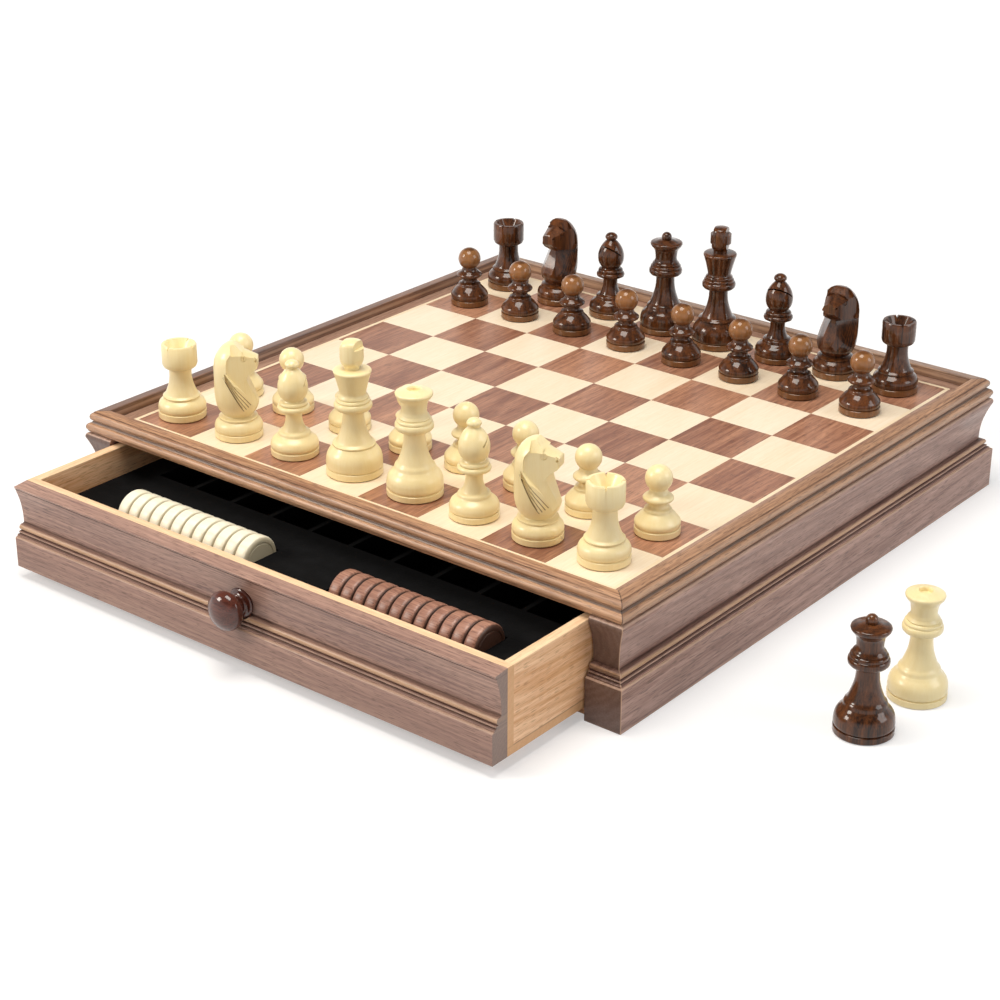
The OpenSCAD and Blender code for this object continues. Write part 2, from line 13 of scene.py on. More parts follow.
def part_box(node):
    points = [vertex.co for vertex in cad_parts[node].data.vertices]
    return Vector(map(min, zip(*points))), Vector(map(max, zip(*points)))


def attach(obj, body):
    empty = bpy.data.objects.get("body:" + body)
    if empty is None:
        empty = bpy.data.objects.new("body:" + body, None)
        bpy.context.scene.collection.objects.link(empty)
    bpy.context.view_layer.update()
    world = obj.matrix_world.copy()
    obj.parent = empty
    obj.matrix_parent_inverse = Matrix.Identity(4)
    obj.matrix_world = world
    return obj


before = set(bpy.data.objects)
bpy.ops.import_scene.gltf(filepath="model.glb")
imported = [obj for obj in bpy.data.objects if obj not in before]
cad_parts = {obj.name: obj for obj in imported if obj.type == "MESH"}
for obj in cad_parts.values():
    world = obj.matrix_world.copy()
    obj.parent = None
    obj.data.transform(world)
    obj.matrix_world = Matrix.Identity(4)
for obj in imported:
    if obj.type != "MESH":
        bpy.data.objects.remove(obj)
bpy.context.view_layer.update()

LOG = logging.getLogger("chess_box")
MM = 0.001
SQUARE = 42.0
# Corners of the loaded meshes that lie this close, in metres, are one corner.
JOIN_WITHIN = 0.000002
# Blender's identifiers of the nodes that come up most.
MATH = "ShaderNodeMath"
VECTOR_MATH = "ShaderNodeVectorMath"
MIX = "ShaderNodeMix"
MAP_RANGE = "ShaderNodeMapRange"

Node = bpy.types.Node
Tree = bpy.types.NodeTree
Socket = bpy.types.NodeSocket


class Grain(Enum):
    """The axis that the fibres of a piece of timber run along."""

    ALONG_X = 0
    ALONG_Y = 1
    ALONG_Z = 2


class Corner(Enum):
    """How two mitred pieces meet: no joint, a pale line painted as a highlight on the arris, or a dark open
    joint.
    """

    NONE = None
    # A pale line down the corner: a painted highlight on the mitred arris.
    PAINTED_HIGHLIGHT = "#C9A68B"
    OPEN = "#2A1810"


def linear(colour: str) -> tuple[float, float, float, float]:
    """Turn an sRGB hex colour into linear red, green, blue and alpha.

    Args:
        colour: Six hex digits with a leading hash.

    Returns:
        The four linear channels, alpha at 1.
    """
    channels = [int(colour[i : i + 2], 16) / 255 for i in (1, 3, 5)]
    flat = [c / 12.92 if c <= 0.04045 else ((c + 0.055) / 1.055) ** 2.4 for c in channels]
    return (flat[0], flat[1], flat[2], 1.0)


def grey(value: float) -> tuple[float, float, float, float]:
    """Make a neutral linear colour.

    Args:
        value: The strength of all three channels.

    Returns:
        The four linear channels, alpha at 1.
    """
    return (value, value, value, 1.0)


def add(tree: Tree, kind: str, settings: dict | None = None, links: dict | None = None) -> Node:
    """Add one node, give it its values and join its inputs.

    Args:
        tree: The node tree that takes the node.
        kind: Blender's identifier of the node.
        settings: Values by input name or number, or by property name.
        links: Output sockets, or nodes for their first one, by the name or number of the input.

    Returns:
        The new node.
    """
    node = tree.nodes.new(kind)
    for key, value in (settings or {}).items():
        if isinstance(key, int) or key in node.inputs:
            node.inputs[key].default_value = value
        else:
            setattr(node, key, value)
    for key, source in (links or {}).items():
        socket = source.outputs[0] if isinstance(source, Node) else source
        tree.links.new(socket, node.inputs[key])
    return node


@dataclass(frozen=True)
class Finish:
    """A surface finish that makes one material and keeps it for every piece that wears it."""

    title: str

    def material(self) -> bpy.types.Material:
        """Return this finish's material, and make it on the first call."""
        found = bpy.data.materials.get(self.title)
        if found:
            return found
        made = bpy.data.materials.new(self.title)
        made.use_nodes = True
        made.node_tree.nodes.clear()
        self.shade(made.node_tree)
        return made

    def shade(self, tree: Tree) -> None:
        """Fill the material's node tree. Each finish has its own.

        Args:
            tree: The empty tree.
        """
        raise NotImplementedError

    def put_on(self, piece: bpy.types.Object) -> None:
        """Give this finish to one object's whole surface.

        Args:
            piece: A mesh object.
        """
        piece.data.materials.clear()
        piece.data.materials.append(self.material())

    def dress(self, *names: str, sharp: float = 45.0) -> int:
        """Give this finish to nodes of the model and round off the facets of their curved faces.

        Args:
            names: The nodes' names.
            sharp: The angle in degrees above which an edge stays crisp.

        Returns:
            How many nodes were dressed.
        """
        for name in names:
            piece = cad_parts[name]
            self.put_on(piece)
            soften(piece, sharp)
        return len(names)


def mesh_tree(title: str) -> tuple[Tree, Socket]:
    """Start a geometry tree that takes a mesh and gives a mesh.

    Args:
        title: The tree's name.

    Returns:
        The tree and the mesh that comes into it.
    """
    tree = bpy.data.node_groups.new(title, "GeometryNodeTree")
    tree.is_modifier = True
    for way in ("INPUT", "OUTPUT"):
        tree.interface.new_socket("Mesh", in_out=way, socket_type="NodeSocketGeometry")
    return tree, add(tree, "NodeGroupInput").outputs[0]


def soften(piece: bpy.types.Object, sharp: float) -> None:
    """Join a mesh's split corners and shade it smooth, apart from its crisp edges.

    Args:
        piece: The object, whose own vertices stay as they are.
        sharp: The angle in degrees above which an edge stays crisp.
    """
    given = piece.data.attributes.get("custom_normal")
    if given:
        piece.data.attributes.remove(given)
    weld = piece.modifiers.new("joined_corners", "WELD")
    weld.merge_threshold = JOIN_WITHIN
    title = f"smooth_below_{sharp:g}"
    tree = bpy.data.node_groups.get(title)
    if tree is None:
        tree, mesh = mesh_tree(title)
        bend = add(tree, "GeometryNodeInputMeshEdgeAngle")
        soft = add(
            tree, "FunctionNodeCompare", {"operation": "LESS_THAN", 1: math.radians(sharp)}, {0: bend}
        )
        faces = add(tree, "GeometryNodeSetShadeSmooth", {"domain": "FACE", 2: True}, {0: mesh})
        edges = add(tree, "GeometryNodeSetShadeSmooth", {"domain": "EDGE"}, {0: faces, 2: soft})
        add(tree, "NodeGroupOutput", {}, {0: edges})
    piece.modifiers.new("soft_shading", "NODES").node_group = tree


@dataclass(frozen=True)
class Band:
    """A line that runs along a moulding at one height: mostly a painted highlight on an arris or painted
    shade in a quirk, some a joint line or a darker or worn stretch of wood.
    """

    height: float
    reach: float
    colour: str
    strength: float


@dataclass(frozen=True)
class Mark:
    """Something drawn over only some pieces of timber, such as painted shade between draughts or in a
    knight's mane grooves.
    """

    def draw(self, tree: Tree, place: Socket, colour: Socket) -> Socket:
        """Draw the mark over the wood. Each kind of mark has its own way.

        Args:
            tree: The material's tree.
            place: The position in millimetres.
            colour: The wood's colour so far.

        Returns:
            The colour with the mark on it.
        """
        raise NotImplementedError


@dataclass(frozen=True)
class PaintedGapShade(Mark):
    """A row of discs along X, with painted shade on the arrises between one disc and the next, where the
    gaps fall in shadow.

    The painted shade has its full strength up to the share `solid` of the pitch, and ends at the share
    `gone`.
    """

    start: float
    colour: str
    pitch: float = 8.1
    strength: float = 0.85
    solid: float = 0.06
    gone: float = 0.15

    def draw(self, tree: Tree, place: Socket, colour: Socket) -> Socket:
        """Paint shade on both arrises of every disc.

        Args:
            tree: The material's tree.
            place: The position in millimetres.
            colour: The wood's colour so far.

        Returns:
            The colour with the stain on it.
        """
        parts = add(tree, "ShaderNodeSeparateXYZ", {}, {0: place})
        along = add(tree, MATH, {"operation": "SUBTRACT", 1: self.start}, {0: parts.outputs[0]})
        count = add(tree, MATH, {"operation": "DIVIDE", 1: self.pitch}, {0: along})
        part = add(tree, MATH, {"operation": "PINGPONG", 1: 0.5}, {0: count})
        edge = add(
            tree,
            MAP_RANGE,
            {"From Min": self.solid, "From Max": self.gone, "To Min": self.strength, "To Max": 0.0},
            {"Value": part},
        )
        return add(
            tree, MIX, {"data_type": "RGBA", 7: linear(self.colour)}, {0: edge, 6: colour}
        ).outputs[2]


@dataclass(frozen=True)
class ManeGrooveShade(Mark):
    """Fine dark lines that fan out over each side of a knight's neck from a point behind it: painted shade
    standing in for the mane's carved grooves.

    Angles are in degrees below the horizontal and lengths in millimetres. A line has its full strength up
    to the share `solid` of a step, and ends at the share `gone`.
    """

    seat: tuple[float, float, float]
    turn: float
    colour: str
    strength: float = 0.8
    origin: tuple[float, float] = (-15.2, 54.2)
    first: float = 55.5
    step: float = 2.0
    lines: int = 4
    reach: tuple[float, float] = (18.0, 41.0)
    side: float = 6.5
    depth: float = 20.0
    solid: float = 0.07
    gone: float = 0.22
    margin: float = 0.3

    def draw(self, tree: Tree, place: Socket, colour: Socket) -> Socket:
        """Paint the grooves' shade, in the knight's own frame.

        Args:
            tree: The material's tree.
            place: The position in millimetres.
            colour: The wood's colour so far.

        Returns:
            The colour with the lines on it.
        """
        local = add(tree, VECTOR_MATH, {"operation": "SUBTRACT", 1: self.seat}, {0: place})
        turned = add(
            tree,
            "ShaderNodeVectorRotate",
            {"rotation_type": "Z_AXIS", "Angle": -math.radians(self.turn)},
            {"Vector": local},
        )
        parts = add(tree, "ShaderNodeSeparateXYZ", {}, {0: turned}).outputs
        ahead = add(tree, MATH, {"operation": "SUBTRACT", 1: self.origin[0]}, {0: parts[0]}).outputs[0]
        below = add(tree, MATH, {"operation": "SUBTRACT", 0: self.origin[1]}, {1: parts[2]}).outputs[0]
        swing = add(tree, MATH, {"operation": "ARCTAN2"}, {0: below, 1: ahead})
        count = add(
            tree,
            MATH,
            {"operation": "MULTIPLY_ADD", 1: math.degrees(1) / self.step, 2: -self.first / self.step},
            {0: swing},
        ).outputs[0]
        line = add(tree, MATH, {"operation": "PINGPONG", 1: 0.5}, {0: count})
        shown = add(
            tree,
            MAP_RANGE,
            {"From Min": self.solid, "From Max": self.gone, "To Min": self.strength, "To Max": 0.0},
            {"Value": line},
        ).outputs[0]
        far = add(tree, "ShaderNodeCombineXYZ", {}, {0: ahead, 1: below})
        length = add(tree, VECTOR_MATH, {"operation": "LENGTH"}, {0: far}).outputs["Value"]
        aside = add(tree, MATH, {"operation": "ABSOLUTE"}, {0: parts[1]}).outputs[0]
        middle = (self.lines - 1) / 2
        limits = (
            (count, middle, middle + self.margin),
            (length, sum(self.reach) / 2, (self.reach[1] - self.reach[0]) / 2),
            (aside, self.side + self.depth, self.depth),
        )
        for value, centre, within in limits:
            inside = add(tree, MATH, {"operation": "COMPARE", 1: centre, 2: within}, {0: value})
            shown = add(tree, MATH, {"operation": "MULTIPLY"}, {0: shown, 1: inside}).outputs[0]
        return add(
            tree, MIX, {"data_type": "RGBA", 7: linear(self.colour)}, {0: shown, 6: colour}
        ).outputs[2]


@dataclass(frozen=True)
class Figure:
    """One scale of a wood's figure: noise drawn out along the fibres, with its sizes in millimetres."""

    across: float
    along: float
    tone: float = 0.0
    detail: float = 2.0
    roughness: float = 0.5


# No ring is round: its radius wanders by some millimetres along the trunk.
WANDER = Figure(20.0, 130.0)
WANDER_MM = 14.0
# The tone drifts slowly along and across a board.
DRIFT = Figure(13.0, 150.0, tone=0.7)
# Fibres are finer than the eye sees from here; the streaks are bundles of them, about 1 mm across.
FIBRES = Figure(0.5, 14.0, tone=0.5, detail=1.5, roughness=0.7)
STREAKS = Figure(1.1, 44.0, tone=0.95, detail=2.5, roughness=0.62)
# Real pores are 0.1 to 0.2 mm wide; they are drawn at 0.45 mm so that they still show at this distance.
PORES = Figure(0.45, 6.0, detail=0.0)
# How far apart in the log two leaves of veneer or two blanks may come from.
TRUNK_MM = 400.0
# The sum of the layers runs from deep to pale over twice this spread at a contrast of 1.
SPREAD = 0.4
# A band is at full strength over this share of its reach.
BAND_CORE = 0.4
# A mitre's line has its full strength up to the first distance, in millimetres, and ends at the second.
MITRE_MM = (0.15, 0.55)
MITRE_TONE = 0.75
# Noise from the first value up is the edge of a pore, and from the second its middle.
PORE_EDGE = (0.6, 0.7)
# A face counts as cut across the fibres from the first share of square-on, and wholly from the second.
END_FACING = (0.8, 0.92)
END_TONE = 0.75


@dataclass(frozen=True)
class Timber(Finish):
    """Wood under a clear coat: growth rings, streaks, fibres, pores and a slow drift of tone."""

    pale: str = "#A98672"
    deep: str = "#7A5546"
    pore: str = "#4A3228"
    end: str = "#7D6A60"
    grain: Grain = Grain.ALONG_X
    pith: tuple[float, float, float] = (0.0, 40.0, -260.0)
    lean: tuple[float, float] = (0.012, 0.008)
    ring_mm: float = 2.6
    ring_tone: float = 0.22
    streak_mm: float = 1.1
    contrast: float = 1.0
    pore_depth: float = 0.5
    roughness: float = 0.42
    gleam: float = 0.5
    coat: float = 0.2
    coat_roughness: float = 0.22
    cell_mm: float = 0.0
    cell_tone: float = 0.0
    framed: bool = False
    corner: Corner = Corner.NONE
    bands: tuple[Band, ...] = ()
    outer_mm: float = 0.0
    marks: tuple[Mark, ...] = ()

    def fibre(self, tree: Tree, place: Socket, figure: Figure) -> Socket:
        """Add noise drawn out along the fibres.

        Args:
            tree: The material's tree.
            place: The position in the log in millimetres.
            figure: The size and the character of the noise.

        Returns:
            The noise's strength, 0 to 1.
        """
        scale = [1 / figure.across] * 3
        scale[self.grain.value] = 1 / figure.along
        moved = add(tree, VECTOR_MATH, {"operation": "MULTIPLY", 1: scale}, {0: place})
        return add(
            tree,
            "ShaderNodeTexNoise",
            {"Scale": 1.0, "Detail": figure.detail, "Roughness": figure.roughness},
            {"Vector": moved},
        ).outputs["Fac"]

    def rings(self, tree: Tree, place: Socket) -> Socket:
        """Cut the rings of a log that leans a little: arches, stripes or arcs, by the face that meets them.

        Args:
            tree: The material's tree.
            place: The position in the log in millimetres.

        Returns:
            The ring's tone, 0 at its edge and 1 at its middle.
        """
        from_pith = add(tree, VECTOR_MATH, {"operation": "SUBTRACT", 1: self.pith}, {0: place})
        reach = []
        for axis, slope in zip([i for i in range(3) if i != self.grain.value], self.lean):
            way = [0.0, 0.0, 0.0]
            way[axis] = 1.0
            way[self.grain.value] = slope
            across = add(tree, VECTOR_MATH, {"operation": "DOT_PRODUCT", 1: way}, {0: from_pith})
            reach.append(across.outputs["Value"])
        flat = add(tree, "ShaderNodeCombineXYZ", {}, {0: reach[0], 1: reach[1]})
        radius = add(tree, VECTOR_MATH, {"operation": "LENGTH"}, {0: flat}).outputs["Value"]
        wander = self.fibre(tree, place, WANDER)
        bent = add(tree, MATH, {"operation": "MULTIPLY_ADD", 1: WANDER_MM}, {0: wander, 2: radius})
        year = add(tree, MATH, {"operation": "DIVIDE", 1: self.ring_mm}, {0: bent})
        tone = add(tree, MATH, {"operation": "PINGPONG", 1: 0.5}, {0: year})
        return add(tree, MATH, {"operation": "MULTIPLY", 1: 2.0}, {0: tone}).outputs[0]

    def lay(self, tree: Tree, place: Socket, off: tuple[Socket, Socket]) -> tuple[Socket, Socket | None]:
        """Find where in the log a point of the wood comes from.

        Args:
            tree: The material's tree.
            place: The position in millimetres.
            off: The distances from the cabinet's two middle planes.

        Returns:
            The position in the log, and a number from 0 to 1 for each leaf or blank if there are any.
        """
        if self.framed:
            # The four sides of a frame are cut apart and laid with their fibres along each side.
            parts = add(tree, "ShaderNodeSeparateXYZ", {}, {0: place}).outputs
            turned = add(tree, "ShaderNodeCombineXYZ", {}, {0: parts[1], 1: parts[0], 2: parts[2]})
            side = add(tree, MATH, {"operation": "GREATER_THAN"}, {0: off[0], 1: off[1]})
            place = add(tree, MIX, {"data_type": "VECTOR"}, {0: side, 4: place, 5: turned}).outputs[1]
        if not self.cell_mm:
            return place, None
        # Each leaf of veneer, or each turned blank, comes from its own place in the log.
        cell = add(tree, VECTOR_MATH, {"operation": "SCALE", "Scale": 1 / self.cell_mm}, {0: place})
        whole = add(tree, VECTOR_MATH, {"operation": "FLOOR"}, {0: cell})
        flat = add(tree, VECTOR_MATH, {"operation": "MULTIPLY", 1: (1.0, 1.0, 0.0)}, {0: whole})
        lot = add(tree, "ShaderNodeTexWhiteNoise", {"noise_dimensions": "3D"}, {"Vector": flat})
        far = add(
            tree, VECTOR_MATH, {"operation": "SCALE", "Scale": TRUNK_MM}, {0: lot.outputs["Color"]}
        )
        moved = add(tree, VECTOR_MATH, {"operation": "ADD"}, {0: place, 1: far})
        return moved.outputs[0], lot.outputs["Value"]

    def ground(self, tree: Tree, place: Socket, fine: Socket, lot: Socket | None) -> Socket:
        """Lay rings, streaks, drift and fibres over each other and grade them from deep to pale.

        Args:
            tree: The material's tree.
            place: The position in the log in millimetres.
            fine: The noise of the finest fibres.
            lot: The number of each leaf or blank.

        Returns:
            The colour of the wood between its pores.
        """
        streaks = replace(STREAKS, across=self.streak_mm)
        layers = [
            (self.rings(tree, place), self.ring_tone),
            (self.fibre(tree, place, streaks), streaks.tone),
            (self.fibre(tree, place, DRIFT), DRIFT.tone),
            (fine, FIBRES.tone),
        ]
        if lot is not None and self.cell_tone:
            layers.append((lot, self.cell_tone))
        total: Socket | None = None
        for value, tone in layers:
            part = add(tree, MATH, {"operation": "MULTIPLY_ADD", 1: tone, 2: 0.0}, {0: value})
            if total is not None:
                tree.links.new(total, part.inputs[2])
            total = part.outputs[0]
        # Every layer runs from 0 to 1 about a mean of a half.
        middle = sum(tone for _, tone in layers) / 2
        reach = SPREAD / self.contrast
        graded = add(
            tree, MAP_RANGE, {"From Min": middle - reach, "From Max": middle + reach}, {"Value": total}
        )
        return add(
            tree, MIX, {"data_type": "RGBA", 6: linear(self.deep), 7: linear(self.pale)}, {0: graded}
        ).outputs[2]

    def cut_ends(self, tree: Tree, normal: Socket) -> Socket:
        """Find the faces that cut across the fibres.

        Args:
            tree: The material's tree.
            normal: The way that the face looks.

        Returns:
            How far the face is end grain, 0 along the fibres.
        """
        way = [0.0, 0.0, 0.0]
        way[self.grain.value] = 1.0
        facing = add(tree, VECTOR_MATH, {"operation": "DOT_PRODUCT", 1: way}, {0: normal})
        square_on = add(tree, MATH, {"operation": "ABSOLUTE"}, {0: facing.outputs["Value"]})
        return add(
            tree,
            MAP_RANGE,
            {"From Min": END_FACING[0], "From Max": END_FACING[1], "To Max": END_TONE},
            {"Value": square_on},
        ).outputs[0]

    def shade(self, tree: Tree) -> None:
        """Build the grain and the clear coat over it.

        Args:
            tree: The empty tree.
        """
        spot = add(tree, "ShaderNodeTexCoord")
        place = add(
            tree, VECTOR_MATH, {"operation": "SCALE", "Scale": 1 / MM}, {0: spot.outputs["Object"]}
        ).outputs[0]
        parts = add(tree, "ShaderNodeSeparateXYZ", {}, {0: place}).outputs
        aside = add(tree, MATH, {"operation": "ABSOLUTE"}, {0: parts[0]}).outputs[0]
        ahead = add(tree, MATH, {"operation": "ABSOLUTE"}, {0: parts[1]}).outputs[0]
        in_log, lot = self.lay(tree, place, (aside, ahead))
        fine = self.fibre(tree, in_log, FIBRES)
        colour = self.ground(tree, in_log, fine, lot)
        pores = add(
            tree,
            MAP_RANGE,
            {"From Min": PORE_EDGE[0], "From Max": PORE_EDGE[1], "To Max": self.pore_depth},
            {"Value": self.fibre(tree, in_log, PORES)},
        ).outputs[0]
        colour = add(
            tree, MIX, {"data_type": "RGBA", 7: linear(self.pore)}, {0: pores, 6: colour}
        ).outputs[2]
        cut = self.cut_ends(tree, spot.outputs["Normal"])
        if not self.framed and self.grain is not Grain.ALONG_Z:
            # Cut ends drink more lacquer and turn greyer.
            colour = add(
                tree, MIX, {"data_type": "RGBA", 7: linear(self.end)}, {0: cut, 6: colour}
            ).outputs[2]
        colour = self.lines(tree, parts[2], (aside, ahead), cut, colour)
        for mark in self.marks:
            colour = mark.draw(tree, place, colour)
        bump = add(
            tree,
            "ShaderNodeBump",
            {"Strength": 0.25, "Distance": 0.00012, "invert": True},
            {"Height": pores},
        )
        dull = add(
            tree,
            MAP_RANGE,
            {
                "From Min": 0.3,
                "From Max": 0.7,
                "To Min": self.roughness - 0.05,
                "To Max": self.roughness + 0.06,
            },
            {"Value": fine},
        )
        surface = add(
            tree,
            "ShaderNodeBsdfPrincipled",
            {
                "IOR": 1.5,
                "Specular IOR Level": self.gleam,
                "Coat Weight": self.coat,
                "Coat Roughness": self.coat_roughness,
                "Coat IOR": 1.5,
            },
            {"Base Color": colour, "Roughness": dull, "Normal": bump},
        )
        add(tree, "ShaderNodeOutputMaterial", {}, {"Surface": surface})

    def lines(
        self, tree: Tree, height: Socket, off: tuple[Socket, Socket], cut: Socket, colour: Socket
    ) -> Socket:
        """Paint highlights on the arrises and shade in the quirks, and draw the mitres.

        Args:
            tree: The material's tree.
            height: The height above the floor in millimetres.
            off: The distances from the cabinet's two middle planes.
            cut: How far the face is end grain, which has no lines.
            colour: The wood's colour so far.

        Returns:
            The colour with the lines on it.
        """
        if not self.bands and self.corner is Corner.NONE:
            return colour
        out = add(tree, MATH, {"operation": "MAXIMUM"}, {0: off[0], 1: off[1]})
        outer = add(tree, MATH, {"operation": "GREATER_THAN", 1: self.outer_mm}, {0: out})
        shown = add(tree, MATH, {"operation": "SUBTRACT", "use_clamp": True}, {0: outer, 1: cut})
        # Most bands are painted highlights on arrises or painted shade in quirks.
        for band in self.bands:
            away = add(tree, MATH, {"operation": "SUBTRACT", 1: band.height}, {0: height})
            gap = add(tree, MATH, {"operation": "ABSOLUTE"}, {0: away})
            near = add(
                tree,
                MAP_RANGE,
                {
                    "From Min": band.reach * BAND_CORE,
                    "From Max": band.reach,
                    "To Min": band.strength,
                    "To Max": 0.0,
                },
                {"Value": gap},
            )
            on = add(tree, MATH, {"operation": "MULTIPLY"}, {0: near, 1: shown})
            colour = add(
                tree, MIX, {"data_type": "RGBA", 7: linear(band.colour)}, {0: on, 6: colour}
            ).outputs[2]
        # The walls' pale mitre is a painted highlight; the rim's dark one is an open joint.
        if self.corner is not Corner.NONE:
            apart = add(tree, MATH, {"operation": "SUBTRACT"}, {0: off[0], 1: off[1]})
            gap = add(tree, MATH, {"operation": "ABSOLUTE"}, {0: apart})
            near = add(
                tree,
                MAP_RANGE,
                {"From Min": MITRE_MM[0], "From Max": MITRE_MM[1], "To Min": MITRE_TONE, "To Max": 0.0},
                {"Value": gap},
            )
            colour = add(
                tree, MIX, {"data_type": "RGBA", 7: linear(self.corner.value)}, {0: near, 6: colour}
            ).outputs[2]
        return colour


# Lines along the walls: painted highlights on the plinth's chamfer and arris, the nose, the bead itself and
# the lip, and painted shade in the quirks beside the bead.
WALL_BANDS = (
    Band(0.5, 0.6, "#C9A68B", 0.45),
    Band(24.2, 0.5, "#D2B094", 0.5),
    Band(25.7, 0.55, "#3A241A", 0.6),
    Band(26.6, 0.4, "#D2B094", 0.3),
    Band(27.2, 0.4, "#3A241A", 0.5),
    Band(29.3, 1.4, "#D3A979", 0.55),
    Band(31.1, 0.6, "#3A241A", 0.6),
    Band(56.6, 0.8, "#D2B094", 0.4),
)
# A drawer front has a darker plinth board, and painted shade in a groove under its top edge.
FACE_BANDS = WALL_BANDS + (Band(52.1, 0.4, "#3A241A", 0.75), Band(10.0, 20.0, "#6E5044", 0.35))
# Lines along the rim: painted shade in the gap over the walls and in the quirks, painted highlights on the
# two beads.
RIM_BANDS = (
    Band(57.6, 0.6, "#2A1810", 0.6),
    Band(60.9, 1.4, "#D8B090", 0.28),
    Band(63.7, 0.7, "#2A1810", 0.65),
    Band(67.0, 1.4, "#D8B090", 0.28),
    Band(69.3, 0.4, "#3A241A", 0.45),
)

# American walnut veneer, plain sliced and lacquered satin: cool pinkish brown with fine dark pores.
WALNUT_X = Timber(
    "walnut_satin_lacquer_x",
    pale="#BC9684",
    deep="#84635A",
    contrast=1.3,
    corner=Corner.PAINTED_HIGHLIGHT,
    bands=FACE_BANDS,
    outer_mm=177.0,
)
# The side walls are cut nearer the heart, so the rings show as low flames on the cove.
WALNUT_Y = replace(
    WALNUT_X,
    title="walnut_satin_lacquer_y",
    pale="#B69284",
    deep="#7E5A4E",
    grain=Grain.ALONG_Y,
    pith=(150.0, 0.0, 38.0),
    lean=(0.05, 0.03),
    ring_mm=4.5,
    ring_tone=0.3,
    bands=WALL_BANDS,
)
# The rim is solid walnut under the same lacquer, with straighter and stronger streaks and a redder tone.
RIM_X = Timber(
    "walnut_rim_x",
    pale="#D4A680",
    deep="#845A40",
    contrast=1.15,
    corner=Corner.OPEN,
    bands=RIM_BANDS,
    outer_mm=177.0,
)
RIM_Y = replace(
    RIM_X,
    title="walnut_rim_y",
    pale="#C69A78",
    deep="#7C563E",
    grain=Grain.ALONG_Y,
    pith=(-240.0, 0.0, -260.0),
)
STRIP = Timber("walnut_border_strip", pale="#BE9A84", deep="#8F6A58", framed=True, corner=Corner.OPEN)
# Squares are cut from one leaf and laid with the fibres all one way; each has its own tone.
WALNUT_SQUARES = Timber(
    "walnut_veneer_squares",
    pale="#C48F70",
    deep="#84543F",
    grain=Grain.ALONG_Y,
    contrast=1.25,
    pore_depth=0.45,
    coat=0.45,
    coat_roughness=0.3,
    cell_mm=SQUARE,
    cell_tone=0.3,
)
# Maple sapwood veneer: almost even cream with a faint silky drift.
MAPLE_SQUARES = Timber(
    "maple_veneer_squares",
    pale="#F7E8D0",
    deep="#EED8B8",
    pore="#DDBB8E",
    grain=Grain.ALONG_Y,
    ring_tone=0.12,
    pore_depth=0.15,
    cell_mm=SQUARE,
    cell_tone=0.35,
)
MAPLE_LINE = replace(MAPLE_SQUARES, title="maple_inlay_line", pale="#F8E4C2", framed=True, cell_mm=0.0)
# Steamed beech boards, sanded and sealed: warm orange tan with fine short flecks.
# Painted highlight along the boards' top edges, and a dark joint line where the floor board meets them.
BEECH_BANDS = (Band(54.6, 0.9, "#F3DDB8", 0.35), Band(11.2, 0.6, "#7A4E2C", 0.6))
BEECH_X = Timber(
    "beech_sealed_x",
    bands=BEECH_BANDS,
    pale="#FBD2A8",
    deep="#D69A66",
    pore="#9A6234",
    end="#D9A878",
    ring_mm=3.4,
    streak_mm=0.8,
    contrast=1.15,
    pore_depth=0.4,
    roughness=0.55,
    coat=0.05,
)
BEECH_Y = replace(
    BEECH_X,
    title="beech_sealed_y",
    grain=Grain.ALONG_Y,
    pith=(100.0, 0.0, 70.0),
    lean=(0.1, 0.16),
    ring_mm=5.5,
    ring_tone=0.35,
)
# Boxwood, turned and lacquered satin: ivory yellow, close grained.
BOXWOOD = Timber(
    "boxwood_turned_satin",
    pale="#FAEBBE",
    deep="#F1D998",
    pore="#E2C988",
    grain=Grain.ALONG_Z,
    ring_tone=0.1,
    contrast=0.5,
    cell_mm=SQUARE,
    cell_tone=0.1,
    pore_depth=0.05,
    roughness=0.36,
    coat=0.35,
    coat_roughness=0.15,
)
# The foot's rim is handled most, so its stain wears through to a lighter brown.
FOOT_BANDS = (Band(66.2, 3.6, "#9C6C40", 0.4),)
# Sheesham, turned, stained dark and lacquered gloss: near black streaks in red brown.
SHEESHAM = Timber(
    "sheesham_turned_gloss",
    pale="#70401F",
    deep="#1B0C06",
    pore="#160A06",
    grain=Grain.ALONG_Z,
    pith=(9.0, 14.0, 0.0),
    ring_mm=5.0,
    ring_tone=0.25,
    streak_mm=1.2,
    contrast=1.1,
    cell_mm=SQUARE,
    cell_tone=0.1,
    pore_depth=0.3,
    roughness=0.35,
    gleam=0.1,
    bands=FOOT_BANDS,
    coat=0.75,
    coat_roughness=0.035,
)
DRAUGHT_DARK = Timber(
    "walnut_draught",
    pale="#BE8E78",
    deep="#875A48",
    pore="#4E3026",
    end="#8E6454",
    contrast=1.3,
    roughness=0.45,
)
DRAUGHT_LIGHT = Timber(
    "boxwood_draught",
    pale="#FCF7E4",
    deep="#F4EACC",
    pore="#E2D0A0",
    end="#F4EACB",
    pore_depth=0.08,
    roughness=0.45,
)
KNOB_WOOD = Timber(
    "walnut_knob_gloss",
    pale="#683426",
    deep="#3C1A11",
    pore="#200D08",
    end="#4A2318",
    roughness=0.35,
    gleam=0.1,
    coat=1.0,
    coat_roughness=0.05,
)


